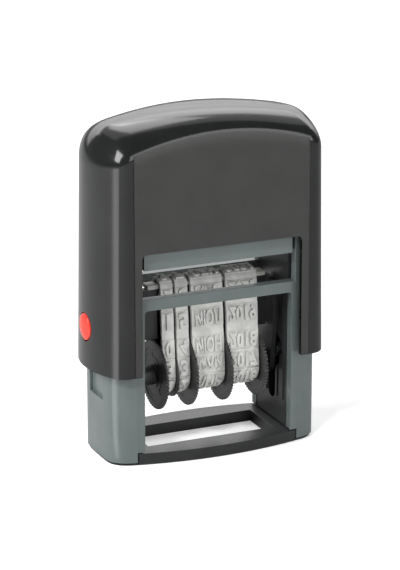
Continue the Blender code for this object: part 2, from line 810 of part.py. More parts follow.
def stack():
    """Where each disc, band and separator lies along the axle, from left to right."""
    order = [
        ("wheel_day_tens", DISC_THICKNESS),
        ("band_day_tens", DAY_BAND_WIDTH),
        ("band_separator", SEPARATOR_THICKNESS),
        ("band_day_units", DAY_BAND_WIDTH),
        ("wheel_day_units", DISC_THICKNESS),
        ("band_month", WIDE_BAND_WIDTH),
        ("wheel_month", DISC_THICKNESS),
        ("band_year", WIDE_BAND_WIDTH),
        ("wheel_year", DISC_THICKNESS),
    ]
    at = STACK_SHIFT - STACK_LENGTH / 2
    places = {}
    for name, width in order:
        places[name] = (at, at + width)
        at += width + SIDE_GAP
    return places


def band_outline(outwards):
    """A date band's side view: round its drum at the bottom and over the bridge at the top."""
    crown = AXIS_HEIGHT + PRINT_REACH - CHARACTER_RISE - BAND_THICKNESS - BAND_NOSE
    nose_half = BRIDGE_DEPTH / 2 + SIDE_GAP - BAND_NOSE
    return wrap(
        [
            (0, WHEEL_HEIGHT, DRUM_RADIUS + TURN_GAP + outwards),
            (-nose_half, crown, BAND_NOSE + outwards),
            (nose_half, crown, BAND_NOSE + outwards),
        ]
    )


def build_band(name, place, material):
    outlines = [band_outline(BAND_THICKNESS), band_outline(0)]
    return wear(slab(name, "YZ", outlines, place[0], place[1]), material)


def disc_outline():
    """A thumb disc's rim, with one tooth and one gap at each pitch."""
    points = []
    for i in range(2 * DISC_TEETH):
        turn = math.pi * i / DISC_TEETH
        radius = DISC_RADIUS - (DISC_TOOTH if i % 2 else 0)
        points.append((radius * math.cos(turn), WHEEL_HEIGHT + radius * math.sin(turn)))
    return points


def build_wheel(name, disc, band, material):
    """A toothed thumb disc with the drum that drives its band."""
    wheel = slab(name, "YZ", [disc_outline()], disc[0], disc[1])
    if band[0] > disc[0]:
        drum_ends = (disc[1] - DISC_THICKNESS / 2, band[1])
    else:
        drum_ends = (band[0], disc[0] + DISC_THICKNESS / 2)
    join(wheel, rod(name + "_drum", DRUM_RADIUS, *drum_ends, WHEEL_HEIGHT))
    bore = rod(
        name + "_bore",
        AXLE_RADIUS + TURN_GAP,
        min(disc[0], band[0]) - SIDE_PLATE,
        max(disc[1], band[1]) + SIDE_PLATE,
        WHEEL_HEIGHT,
    )
    cut(wheel, bore)
    return wear(wheel, material)


def build_print_bridge(places, material):
    """The light anvil that the bands run over, and the web that joins it to both side plates."""
    top = AXIS_HEIGHT + PRINT_REACH - CHARACTER_RISE - BAND_THICKNESS - SIDE_GAP
    left = places["wheel_day_tens"][0] - BRIDGE_TAB
    right = places["wheel_year"][1] + BRIDGE_TAB
    half = DATER_HALF - SIDE_PLATE - SEAT_GAP
    bridge = block(
        "print_bridge", (left, -BRIDGE_DEPTH / 2, top - BRIDGE_HEIGHT), (right, BRIDGE_DEPTH / 2, top)
    )
    web_bottom = WHEEL_HEIGHT + DISC_RADIUS + WEB_CLEARANCE
    web_top = min(top - BRIDGE_HEIGHT / 2, AXIS_HEIGHT + PRINT_REACH - PLATE_TOP_DROP)
    web = block(
        "bridge_web", (-half, -WEB_DEPTH / 2, web_bottom), (half, WEB_DEPTH / 2, web_top)
    )
    join(bridge, web)
    return wear(bridge, material)


def build_sleeve(name, start, end, outer, material):
    """A ring on the axle between two pieces."""
    centre = (0, WHEEL_HEIGHT)
    outlines = [circle(outer, centre), circle(AXLE_RADIUS + TURN_GAP, centre)]
    return wear(slab(name, "YZ", outlines, min(start, end), max(start, end)), material)


def build_dater(finishes):
    """Everything that turns over with the print line; returns its fixed pieces and its wheels."""
    places = stack()
    plate_inside = DATER_HALF - SIDE_PLATE - SEAT_GAP
    axle_half = DATER_HALF + SIDE_GAP
    cheek = build_side_plate("side_plate_right", finishes["black"])
    fixed = [
        cheek,
        mirrored("side_plate_left", cheek),
        build_print_bridge(places, finishes["bridge"]),
        build_sleeve(
            "axle_sleeve_left",
            -plate_inside,
            places["wheel_day_tens"][0] - SEAT_GAP,
            SLEEVE_RADIUS,
            finishes["black"],
        ),
        build_sleeve(
            "axle_sleeve_right",
            places["wheel_year"][1] + SEAT_GAP,
            plate_inside,
            SLEEVE_RADIUS,
            finishes["black"],
        ),
        build_sleeve(
            "band_separator", *places["band_separator"], SEPARATOR_RADIUS, finishes["black"]
        ),
        wear(rod("wheel_axle", AXLE_RADIUS, -axle_half, axle_half, WHEEL_HEIGHT), finishes["steel"]),
    ]
    wheels = []
    for field in ("day_tens", "day_units", "month", "year"):
        band = places["band_" + field]
        disc = places["wheel_" + field]
        fixed.append(build_band("band_" + field, band, finishes["rubber"]))
        wheels.append(build_wheel("wheel_" + field, disc, band, finishes["black"]))
    return fixed, wheels


def main():
    start_scene()
    finishes = {
        "cap": finish("cap_gloss_abs", (0.061, 0.061, 0.060), 0.28),
        "grey": finish("base_satin_abs", (0.147, 0.165, 0.165), 0.42),
        "black": finish("frame_black_abs", (0.028, 0.029, 0.030), 0.40),
        "bridge": finish("bridge_light_abs", (0.52, 0.52, 0.50), 0.45),
        "rubber": finish("band_rubber", (0.57, 0.57, 0.55), 0.65),
        "red": finish("button_red_abs", (0.76, 0.051, 0.028), 0.30),
        "foam": finish("ink_foam", (0.02, 0.02, 0.03), 0.95),
        "steel": finish("spring_steel", (0.55, 0.55, 0.56), 0.30, 1.0),
    }
    build_base_housing(finishes["grey"])
    build_foot_frame(finishes["black"])
    mirrored("cam_plate_left", build_cam_plate("cam_plate_right", finishes["black"]))
    build_main_spring(finishes["steel"])

    cassette_slide = pivot("cassette_slide", (0, 0, PAD_HEIGHT))
    carry(cassette_slide, [build_pad_cassette(finishes["grey"]), build_ink_pad(finishes["foam"])])

    cap_slide = pivot("cap_slide", (0, 0, CAP_FOOT))
    buttons = [
        build_lock_button("lock_button_left", -1, finishes["red"]),
        build_lock_button("lock_button_right", 1, finishes["red"]),
    ]
    carry(cap_slide, [build_cap_shell(finishes["cap"]), build_yoke(finishes["black"]), *buttons])

    fixed, wheels = build_dater(finishes)
    dater_axis = pivot("dater_axis", (0, 0, AXIS_HEIGHT))
    wheel_axis = pivot("wheel_axis", (0, 0, WHEEL_HEIGHT))
    carry(wheel_axis, wheels)
    carry(dater_axis, [*fixed, wheel_axis])
    carry(cap_slide, [dater_axis])


main()
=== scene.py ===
import math

import bpy
from mathutils import Matrix, Quaternion, Vector


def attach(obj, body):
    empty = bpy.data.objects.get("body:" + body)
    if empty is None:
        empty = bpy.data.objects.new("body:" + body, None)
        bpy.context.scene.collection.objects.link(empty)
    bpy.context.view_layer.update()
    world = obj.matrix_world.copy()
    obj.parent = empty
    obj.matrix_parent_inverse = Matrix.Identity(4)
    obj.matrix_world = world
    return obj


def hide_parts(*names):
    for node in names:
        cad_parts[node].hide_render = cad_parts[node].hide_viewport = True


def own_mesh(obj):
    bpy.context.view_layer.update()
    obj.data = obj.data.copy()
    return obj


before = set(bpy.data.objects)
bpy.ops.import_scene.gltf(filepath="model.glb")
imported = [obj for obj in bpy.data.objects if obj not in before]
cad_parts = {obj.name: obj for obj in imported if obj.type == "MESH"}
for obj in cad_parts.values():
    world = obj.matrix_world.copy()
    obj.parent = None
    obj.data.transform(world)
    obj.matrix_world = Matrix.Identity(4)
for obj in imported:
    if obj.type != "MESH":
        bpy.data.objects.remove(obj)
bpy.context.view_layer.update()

mm = 0.001
touch = 0.01 * mm  # places closer than this count as one
weld = 0.002 * mm  # points closer than this are joined
bpy.ops.object.select_all(action="DESELECT")


# Small helpers for selecting, applying and finishing
def pick(piece):
    bpy.ops.object.select_all(action="DESELECT")
    piece.select_set(True)
    bpy.context.view_layer.objects.active = piece


def settle(piece, name):
    # puts the piece's place into its mesh and names it
    pick(piece)
    bpy.ops.object.transform_apply(location=True, rotation=True, scale=True)
    piece.name = piece.data.name = name
    return piece


def applyModifier(piece, kind, **settings):
    pick(piece)
    modifier = piece.modifiers.new(kind.lower(), kind)
    for key, value in settings.items():
        setattr(modifier, key, value)
    bpy.ops.object.modifier_apply(modifier=modifier.name)


def cutAway(piece, *cutters):
    for cutter in cutters:
        applyModifier(piece, "BOOLEAN", operation="DIFFERENCE", solver="EXACT", object=cutter)
        bpy.data.objects.remove(cutter, do_unlink=True)


def turnOutwards(piece):
    pick(piece)
    bpy.ops.object.mode_set(mode="EDIT")
    bpy.ops.mesh.select_all(action="SELECT")
    bpy.ops.mesh.remove_doubles(threshold=weld)
    bpy.ops.mesh.normals_make_consistent(inside=False)
    bpy.ops.object.mode_set(mode="OBJECT")


def smoothShade(piece, angle):
    pick(piece)
    bpy.ops.object.shade_smooth_by_angle(angle=math.radians(angle))


def softEdges(piece, width, segments, angle=32):
    applyModifier(
        piece, "BEVEL", width=width, segments=segments, limit_method="ANGLE",
        angle_limit=math.radians(angle), use_clamp_overlap=True, harden_normals=False,
    )


def dress(piece, material, body, slotName, *nodes):
    # gives the piece its finish, and lets it ride on its body in place of its CAD nodes
    piece.data.materials.clear()
    piece.data.materials.append(material)
    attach(piece, body)
    if nodes:
        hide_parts(*nodes)


def copyOfNode(node, name):
    # a clean copy of a CAD node's mesh: its loose triangles joined, and its flat faces made whole
    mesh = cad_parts[node].data.copy()
    piece = bpy.data.objects.new(name, mesh)
    bpy.context.scene.collection.objects.link(piece)
    pick(piece)
    bpy.ops.object.mode_set(mode="EDIT")
    bpy.ops.mesh.select_all(action="SELECT")
    bpy.ops.mesh.remove_doubles(threshold=weld)
    bpy.ops.mesh.dissolve_limited(angle_limit=math.radians(0.8))
    bpy.ops.object.mode_set(mode="OBJECT")
    piece.name = mesh.name = name
    return piece


def sameX(ends):
    return abs(ends[0].x - ends[1].x) < touch


def roundEdges(piece, width, segments, wanted):
    # bevels the edges that the test picks by their two end points
    pick(piece)
    bpy.ops.object.mode_set(mode="EDIT")
    bpy.ops.mesh.select_mode(type="EDGE")
    bpy.ops.mesh.select_all(action="DESELECT")
    bpy.ops.object.mode_set(mode="OBJECT")
    for edge in piece.data.edges:
        edge.select = wanted([piece.data.vertices[i].co for i in edge.vertices])
    bpy.ops.object.mode_set(mode="EDIT")
    bpy.ops.mesh.bevel(offset=width, segments=segments, clamp_overlap=True)
    bpy.ops.object.mode_set(mode="OBJECT")


def extrudeRings(piece, rings, closed=False):
    # draws the piece's first edge loop on through one ring of points after another
    pick(piece)
    bpy.ops.object.mode_set(mode="EDIT")
    bpy.ops.mesh.select_mode(type="EDGE")
    bpy.ops.mesh.select_all(action="SELECT")
    bpy.ops.object.mode_set(mode="OBJECT")
    for i, ring in enumerate(rings):
        if i:
            bpy.ops.object.mode_set(mode="EDIT")
            bpy.ops.mesh.extrude_region_move(TRANSFORM_OT_translate={"value": (0, 0, 1 * mm)})
            bpy.ops.object.mode_set(mode="OBJECT")
        moved = [v for v in piece.data.vertices if v.select] if i else list(piece.data.vertices)
        for vertex, point in zip(moved, ring):
            vertex.co = point
    last = [v.index for v in piece.data.vertices if v.select]
    if closed:
        bpy.ops.object.mode_set(mode="EDIT")
        bpy.ops.mesh.select_mode(type="EDGE")
        bpy.ops.mesh.select_all(action="DESELECT")
        bpy.ops.mesh.select_non_manifold()
        bpy.ops.mesh.bridge_edge_loops()
        bpy.ops.object.mode_set(mode="OBJECT")
    return last


# Camera, at the photograph's viewing angle
cameraSetup = {
    "azimuth": 24.035,
    "elevation": 17.443,
    "roll": 0.127,
    "distance": 647.942 * mm,
    "target": (-0.106 * mm, 0, 39.242 * mm),
    "lens": 171.15,
}


def addCamera(setup):
    turn, rise, roll = (math.radians(setup[key]) for key in ("azimuth", "elevation", "roll"))
    back = Vector((-math.sin(turn) * math.cos(rise), -math.cos(turn) * math.cos(rise), math.sin(rise)))
    level = Vector((math.cos(turn), -math.sin(turn), 0))
    upright = back.cross(level)
    right = level * math.cos(roll) + upright * math.sin(roll)
    up = upright * math.cos(roll) - level * math.sin(roll)
    place = Vector(setup["target"]) + back * setup["distance"]
    bpy.ops.object.camera_add()
    camera = bpy.context.object
    camera.matrix_world = Matrix.Translation(place) @ Matrix((right, up, back)).transposed().to_4x4()
    camera.data.lens = setup["lens"]
    camera.data.clip_start, camera.data.clip_end = 0.01, 20
    bpy.context.scene.camera = camera
    print("camera set")


addCamera(cameraSetup)


# Materials
def linear(code):
    # a linear colour from an sRGB hex value
    values = [int(code[i:i + 2], 16) / 255 for i in (1, 3, 5)]
    return (*[v / 12.92 if v <= 0.04045 else ((v + 0.055) / 1.055) ** 2.4 for v in values], 1.0)


mixColours = (6, 7)  # a Mix node's two colour inputs, by place, because their names repeat
mixResult = 2  # and its colour output


def addNode(tree, kind, settings=None, **inputs):
    # adds a node, sets its own settings, and sets or links its inputs. Underscores stand for spaces
    node = tree.nodes.new(kind)
    for key, value in (settings or {}).items():
        setattr(node, key, value)
    for key, value in inputs.items():
        socket = node.inputs[key.replace("_", " ")]
        if isinstance(value, bpy.types.NodeSocket):
            tree.links.new(value, socket)
        else:
            socket.default_value = value
    return node


def setStops(ramp, *stops):
    # sets a colour ramp's two stops, each a place and a hex value
    for element, (place, colour) in zip(ramp.color_ramp.elements, stops):
        element.position = place
        element.color = linear(colour)


def startMaterial(name):
    material = bpy.data.materials.new(name)
    material.use_nodes = True
    tree = material.node_tree
    shader = tree.nodes["Principled BSDF"]
    place = addNode(tree, "ShaderNodeTexCoord").outputs["Object"]
    return material, tree, shader, place


def linkSurface(tree, shader, colour, roughness, normal=None):
    tree.links.new(colour, shader.inputs["Base Color"])
    tree.links.new(roughness, shader.inputs["Roughness"])
    if normal:
        tree.links.new(normal, shader.inputs["Normal"])


glossAbs = {
    "colours": ("#131414", "#191a1a"),
    "cloud": 9 * mm,
    "roughness": (0.13, 0.18),
    "peel": 1.6 * mm,  # orange peel of a polished mould, drawn 3 times coarser than life so that it shows
    "peelHeight": 0.0006 * mm,
    "dust": 0.35 * mm,
    "ior": 1.53,
}


def makeGlossAbs(values):
    # polished-mould ABS: near black, with crisp reflections that waver a little over its orange peel
    material, tree, shader, place = startMaterial("gloss moulded ABS, dark grey")
    cloud = addNode(tree, "ShaderNodeTexNoise", Vector=place, Scale=1 / values["cloud"], Detail=3.0)
    tone = addNode(tree, "ShaderNodeValToRGB", Fac=cloud.outputs["Fac"])
    setStops(tone, (0.3, values["colours"][0]), (0.7, values["colours"][1]))
    fine = addNode(tree, "ShaderNodeTexNoise", Vector=place, Scale=1 / values["dust"], Detail=2.0)
    sheen = addNode(
        tree, "ShaderNodeMapRange", Value=fine.outputs["Fac"], From_Min=0.35, From_Max=0.65,
        To_Min=values["roughness"][0], To_Max=values["roughness"][1],
    )
    peel = addNode(tree, "ShaderNodeTexNoise", Vector=place, Scale=1 / values["peel"], Detail=1.0)
    bump = addNode(
        tree, "ShaderNodeBump", Height=peel.outputs["Fac"], Distance=values["peelHeight"], Strength=0.5,
    )
    linkSurface(tree, shader, tone.outputs["Color"], sheen.outputs["Result"], bump.outputs["Normal"])
    shader.inputs["IOR"].default_value = values["ior"]
    return material


satinMould = {
    "cloud": 7 * mm,
    "wornEdges": (0.53, 0.62),  # from this pointiness on an edge looks rubbed, and from this one fully
    "ior": 1.52,
}
satinFinishes = {
    "capPanel": {
        "name": "satin moulded ABS, cap panel", "colours": ("#2c2c2b", "#323231"),
        "roughness": (0.36, 0.46), "grain": 0.3 * mm, "grainHeight": 0.008 * mm,
    },
    "base": {
        "name": "satin moulded ABS, mid grey", "colours": ("#555e5d", "#5c6564"),
        "roughness": (0.17, 0.24), "grain": 0.32 * mm, "grainHeight": 0.006 * mm, "rubbed": (0.5, "#788180"),
    },
    "frame": {
        "name": "satin moulded ABS, black", "colours": ("#1a1b1c", "#202122"),
        "roughness": (0.3, 0.4), "grain": 0.3 * mm, "grainHeight": 0.005 * mm, "rubbed": (0.5, "#3a3b3c"),
    },
    "wheel": {
        "name": "satin moulded ABS, wheel grey", "colours": ("#2a2a2a", "#313131"),
        "roughness": (0.36, 0.48), "grain": 0.26 * mm, "grainHeight": 0.006 * mm, "rubbed": (0.6, "#505050"),
    },
    "bridge": {
        "name": "satin moulded ABS, light grey", "colours": ("#a8a8a2", "#b6b6b0"),
        "roughness": (0.36, 0.46), "grain": 0.3 * mm, "grainHeight": 0.005 * mm,
    },
    "button": {
        "name": "gloss moulded ABS, signal red", "colours": ("#c9301f", "#d6382a"),
        "roughness": (0.16, 0.22), "grain": 0.5 * mm, "grainHeight": 0.002 * mm,
    },
}


def makeSatinAbs(values, mould):
    # ABS from a spark-eroded mould: a fine matt grain, a slightly uneven tone, and paler rubbed edges
    material, tree, shader, place = startMaterial(values["name"])
    cloud = addNode(tree, "ShaderNodeTexNoise", Vector=place, Scale=1 / mould["cloud"], Detail=4.0)
    tone = addNode(tree, "ShaderNodeValToRGB", Fac=cloud.outputs["Fac"])
    setStops(tone, (0.3, values["colours"][0]), (0.7, values["colours"][1]))
    spark = addNode(tree, "ShaderNodeTexNoise", Vector=place, Scale=1 / values["grain"], Detail=2.0)
    shine = addNode(
        tree, "ShaderNodeMapRange", Value=spark.outputs["Fac"], From_Min=0.3, From_Max=0.7,
        To_Min=values["roughness"][0], To_Max=values["roughness"][1],
    )
    bump = addNode(
        tree, "ShaderNodeBump", Height=spark.outputs["Fac"], Distance=values["grainHeight"], Strength=0.6,
    )
    colour = tone.outputs["Color"]
    if "rubbed" in values:
        share, worn = values["rubbed"]
        edge = addNode(tree, "ShaderNodeNewGeometry")
        wear = addNode(
            tree, "ShaderNodeMapRange", Value=edge.outputs["Pointiness"], From_Min=mould["wornEdges"][0],
            From_Max=mould["wornEdges"][1], To_Min=0.0, To_Max=share,
        )
        mix = addNode(tree, "ShaderNodeMix", {"data_type": "RGBA"}, Factor=wear.outputs["Result"])
        tree.links.new(colour, mix.inputs[mixColours[0]])
        mix.inputs[mixColours[1]].default_value = linear(worn)
        colour = mix.outputs[mixResult]
    linkSurface(tree, shader, colour, shine.outputs["Result"], bump.outputs["Normal"])
    shader.inputs["IOR"].default_value = mould["ior"]
    return material


bandRubber = {
    "colours": ("#bebebb", "#d4d4d1"),
    "roughness": (0.55, 0.72),
    "bloom": 2.4 * mm,
    "grain": 0.22 * mm,
    "grainHeight": 0.006 * mm,
    "ior": 1.5,
}


def makeBandRubber(values):
    # moulded date-band rubber: matt warm grey with a cloudy bloom and a fine skin
    material, tree, shader, place = startMaterial("moulded band rubber, light grey")
    bloom = addNode(tree, "ShaderNodeTexNoise", Vector=place, Scale=1 / values["bloom"], Detail=5.0)
    tone = addNode(tree, "ShaderNodeValToRGB", Fac=bloom.outputs["Fac"])
    setStops(tone, (0.35, values["colours"][0]), (0.65, values["colours"][1]))
    skin = addNode(tree, "ShaderNodeTexNoise", Vector=place, Scale=1 / values["grain"], Detail=2.0)
    shine = addNode(
        tree, "ShaderNodeMapRange", Value=skin.outputs["Fac"], From_Min=0.3, From_Max=0.7,
        To_Min=values["roughness"][0], To_Max=values["roughness"][1],
    )
    bump = addNode(
        tree, "ShaderNodeBump", Height=skin.outputs["Fac"], Distance=values["grainHeight"], Strength=0.5,
    )
    linkSurface(tree, shader, tone.outputs["Color"], shine.outputs["Result"], bump.outputs["Normal"])
    shader.inputs["IOR"].default_value = values["ior"]
    return material


steelFinishes = {
    "wire": {
        "name": "drawn spring steel wire", "colours": ("#8d8f92", "#a9abae"), "roughness": (0.24, 0.36),
        "lines": 0.3 * mm, "stretch": (1, 1, 1),
    },
    "axle": {
        "name": "drawn steel rod", "colours": ("#9b9da0", "#b4b6b8"), "roughness": (0.2, 0.32),
        "lines": 0.3 * mm, "stretch": (0.05, 1, 1),
    },
}


def makeSteel(values):
    # drawn steel: bright, with fine lines along the way that it was drawn
    material, tree, shader, place = startMaterial(values["name"])
    stretch = addNode(tree, "ShaderNodeMapping", Vector=place, Scale=values["stretch"]).outputs["Vector"]
    lines = addNode(tree, "ShaderNodeTexNoise", Vector=stretch, Scale=1 / values["lines"], Detail=3.0)
    tone = addNode(tree, "ShaderNodeValToRGB", Fac=lines.outputs["Fac"])
    setStops(tone, (0.3, values["colours"][0]), (0.7, values["colours"][1]))
    shine = addNode(
        tree, "ShaderNodeMapRange", Value=lines.outputs["Fac"], From_Min=0.3, From_Max=0.7,
        To_Min=values["roughness"][0], To_Max=values["roughness"][1],
    )
    linkSurface(tree, shader, tone.outputs["Color"], shine.outputs["Result"])
    shader.inputs["Metallic"].default_value = 1.0
    return material


padFoam = {
    "colours": ("#08080c", "#1a1a22"),
    "roughness": (0.35, 0.8),
    "cell": 0.45 * mm,
    "cellDepth": 0.08 * mm,
}


def makeInkFoam(values):
    # open-cell foam soaked with stamp ink: very dark, with pores and damp glints
    material, tree, shader, place = startMaterial("ink-soaked foam")
    cells = addNode(tree, "ShaderNodeTexVoronoi", Vector=place, Scale=1 / values["cell"])
    tone = addNode(tree, "ShaderNodeValToRGB", Fac=cells.outputs["Distance"])
    setStops(tone, (0.1, values["colours"][0]), (0.7, values["colours"][1]))
    damp = addNode(
        tree, "ShaderNodeMapRange", Value=cells.outputs["Distance"], From_Min=0.0, From_Max=0.8,
        To_Min=values["roughness"][0], To_Max=values["roughness"][1],
    )
    bump = addNode(
        tree, "ShaderNodeBump", Height=cells.outputs["Distance"], Distance=values["cellDepth"], Strength=0.7,
    )
    linkSurface(tree, shader, tone.outputs["Color"], damp.outputs["Result"], bump.outputs["Normal"])
    return material


capGloss = makeGlossAbs(glossAbs)
capSatin = makeSatinAbs(satinFinishes["capPanel"], satinMould)
baseSatin = makeSatinAbs(satinFinishes["base"], satinMould)
frameBlack = makeSatinAbs(satinFinishes["frame"], satinMould)
wheelBlack = makeSatinAbs(satinFinishes["wheel"], satinMould)
bridgeLight = makeSatinAbs(satinFinishes["bridge"], satinMould)
buttonRed = makeSatinAbs(satinFinishes["button"], satinMould)
rubber = makeBandRubber(bandRubber)
wireSteel = makeSteel(steelFinishes["wire"])
axleSteel = makeSteel(steelFinishes["axle"])
inkFoam = makeInkFoam(padFoam)
print("materials made")


# Stage: matt white sweep, soft boxes and an even white background
lightSetup = {
    "background": 1.0,
    "surround": 0.16,
    "floorSize": 8,
    "floorDrop": 0.02 * mm,
    "floorGrain": 4 * mm,
    "floorColours": ("#f0f0f0", "#f3f3f3"),
    "floorMirrored": "#b8b8b8",  # the sweep looks dimmer in reflections
    "floorLift": (0.05, 0.32),  # the sweep's own glow, for other rays and for the camera
    "aim": (0, 0, 0.08),
    "boxes": {
        "backLow": {"place": (0.50, 1.12, 0.30), "size": (2.6, 0.24), "radiance": 1.15},
        "backMiddle": {"place": (0.50, 1.12, 0.54), "size": (2.6, 0.24), "radiance": 1.6},
        "backHigh": {"place": (0.48, 1.10, 0.84), "size": (2.6, 0.36), "radiance": 2.7},
        "backFade": {"place": (0.34, 0.80, 1.28), "size": (2.2, 0.66), "radiance": 0.6},
        "backLeft": {"place": (0.17, 0.82, 0.98), "size": (0.44, 0.50), "radiance": 2.7, "roll": 40},
        "keyBox": {
            "place": (-0.56, -0.05, 0.41), "aim": (0, 0, 0.06), "size": (0.38, 0.38), "radiance": 10.0,
        },
        "frontBox": {
            "place": (0.33, -0.74, 0.36), "aim": (0, 0, 0.06), "size": (0.75, 0.46), "radiance": 2.8,
        },
        "frontKey": {
            "place": (-0.62, -0.54, 0.72), "aim": (0, 0, 0.03), "size": (0.13, 0.13), "radiance": 90.0,
            "mirrored": False,
        },
    },
    # a bright card that lies on the sweep at the left and is seen only in reflections
    "card": {
        "from": (-26.5 * mm, -11.7 * mm, 0.1 * mm), "azimuths": (62, 99), "reach": (3 * mm, 420 * mm),
        "radiance": 1.75, "grain": 30 * mm, "uneven": 0.08,
    },
}


def addCard(values):
    bpy.ops.mesh.primitive_plane_add(size=1)
    card = settle(bpy.context.object, "left_card")
    turns = [math.radians(angle) for angle in values["azimuths"]]
    near, far = values["reach"]
    corners = [(near, turns[0]), (far, turns[0]), (near, turns[1]), (far, turns[1])]
    for vertex, (reach, turn) in zip(card.data.vertices, corners):
        x, y, z = values["from"]
        vertex.co = (x - reach * math.sin(turn), y - reach * math.cos(turn), z)
    material, tree, shader, place = startMaterial("lit white card")
    grain = addNode(tree, "ShaderNodeTexNoise", Vector=place, Scale=1 / values["grain"], Detail=1.0)
    glow = addNode(
        tree, "ShaderNodeMapRange", Value=grain.outputs["Fac"],
        To_Min=(1 - values["uneven"]) * values["radiance"],
        To_Max=(1 + values["uneven"]) * values["radiance"],
    )
    shader.inputs["Emission Color"].default_value = (1, 1, 1, 1)
    tree.links.new(glow.outputs["Result"], shader.inputs["Emission Strength"])
    card.data.materials.append(material)
    card.visible_camera = card.visible_diffuse = card.visible_shadow = False


def addStage(setup):
    bpy.ops.mesh.primitive_plane_add(size=setup["floorSize"], location=(0, 0, -setup["floorDrop"]))
    floor = bpy.context.object
    floor.name = "studio_floor"
    material, tree, shader, place = startMaterial("matt white sweep")
    speck = addNode(tree, "ShaderNodeTexNoise", Vector=place, Scale=1 / setup["floorGrain"], Detail=2.0)
    tone = addNode(tree, "ShaderNodeValToRGB", Fac=speck.outputs["Fac"])
    setStops(tone, (0.3, setup["floorColours"][0]), (0.7, setup["floorColours"][1]))
    seen = addNode(tree, "ShaderNodeLightPath")
    mirrored = addNode(tree, "ShaderNodeMix", {"data_type": "RGBA"}, Factor=seen.outputs["Is Glossy Ray"])
    tree.links.new(tone.outputs["Color"], mirrored.inputs[mixColours[0]])
    mirrored.inputs[mixColours[1]].default_value = linear(setup["floorMirrored"])
    tree.links.new(mirrored.outputs[mixResult], shader.inputs["Base Color"])
    shader.inputs["Roughness"].default_value = 0.9
    shader.inputs["Specular IOR Level"].default_value = 0.0
    shader.inputs["Emission Color"].default_value = (1, 1, 1, 1)
    lift = addNode(
        tree, "ShaderNodeMapRange", Value=seen.outputs["Is Camera Ray"],
        To_Min=setup["floorLift"][0], To_Max=setup["floorLift"][1],
    )
    tree.links.new(lift.outputs["Result"], shader.inputs["Emission Strength"])
    floor.data.materials.append(material)
    world = bpy.data.worlds.new("white studio")
    bpy.context.scene.world = world
    world.use_nodes = True
    nodes = world.node_tree
    sky = nodes.nodes["Background"]
    sky.inputs["Color"].default_value = (1, 1, 1, 1)
    ray = addNode(nodes, "ShaderNodeLightPath")
    strength = addNode(
        nodes, "ShaderNodeMapRange", Value=ray.outputs["Is Camera Ray"],
        To_Min=setup["surround"], To_Max=setup["background"],
    )
    nodes.links.new(strength.outputs["Result"], sky.inputs["Strength"])
    for name, box in setup["boxes"].items():
        bpy.ops.object.light_add(type="AREA", location=box["place"])
        light = bpy.context.object
        light.name = name
        light.data.shape = "RECTANGLE"
        light.data.size, light.data.size_y = box["size"]
        light.data.energy = box["radiance"] * math.pi * box["size"][0] * box["size"][1]
        way = Vector(box.get("aim", setup["aim"])) - Vector(box["place"])
        roll = Quaternion((0, 0, 1), math.radians(box.get("roll", 0)))
        light.rotation_euler = (way.to_track_quat("-Z", "Y") @ roll).to_euler()
        light.visible_camera = False
        light.visible_glossy = box.get("mirrored", True)
    addCard(setup["card"])
    bpy.context.scene.view_settings.view_transform = "Standard"
    print("stage lit")


addStage(lightSetup)


# Cap: one gloss shell with a satin panel on each face
capShape = {
    "half": 30.0 * mm,
    "face": 13.1 * mm,
    "endRadius": 22.0 * mm,
    "edgeRadius": 4.0 * mm,
    "wall": 1.3 * mm,
    "foot": 22.8 * mm,
    "top": 83.7 * mm,
    "archFall": 4.05 * mm,
    "corner": 6.3 * mm,
    "cornerDrop": 8.3 * mm,
    "shoulder": 3.87 * mm,
    "ridge": 1.0 * mm,
    "draft": 0.7 * mm,
    "lean": 0.5 * mm,
    "sag": 1.0 * mm,
    "sagHalf": 24.0 * mm,
    "endSteps": 16,
    "edgeSteps": 14,
    "faceSteps": 18,
    "shoulderRings": 22,
    "wallRings": 8,
    "windowHalf": 20.55 * mm,
    "windowTop": 52.6 * mm,
    "windowCorner": 1.3 * mm,
    "legCorner": 1.1 * mm,
    "buttonHole": 3.45 * mm,
    "buttonHeight": 32.7 * mm,
    "edge": 0.28 * mm,
    "overrun": 5 * mm,  # how far the window's cutter runs on below the cap
    "cutterDepth": 20 * mm,
    "drillLength": 80 * mm,
}


def capRoof(shape, x):
    return shape["top"] - shape["archFall"] * (x / shape["half"]) ** 2


def capPlan(shape):
    # round ends, rounded edges, flat front and back. It starts at the right end and goes round by the back
    centre = shape["half"] - shape["endRadius"]
    fall = shape["face"] - shape["edgeRadius"]
    run = math.sqrt((shape["endRadius"] - shape["edgeRadius"]) ** 2 - fall ** 2)
    bend = math.atan2(fall, run)
    quarter = []
    for i in range(shape["endSteps"]):
        turn = bend * i / shape["endSteps"]
        quarter.append((centre + shape["endRadius"] * math.cos(turn), shape["endRadius"] * math.sin(turn)))
    for i in range(shape["edgeSteps"] + 1):
        turn = bend + (math.pi / 2 - bend) * i / shape["edgeSteps"]
        quarter.append((
            centre + run + shape["edgeRadius"] * math.cos(turn), fall + shape["edgeRadius"] * math.sin(turn)
        ))
    for i in range(1, shape["faceSteps"] + 1):
        quarter.append(((centre + run) * (1 - i / shape["faceSteps"]), shape["face"]))
    half = quarter + [(-x, y) for x, y in reversed(quarter[:-1])]
    return half + [(x, -y) for x, y in reversed(half[1:-1])]


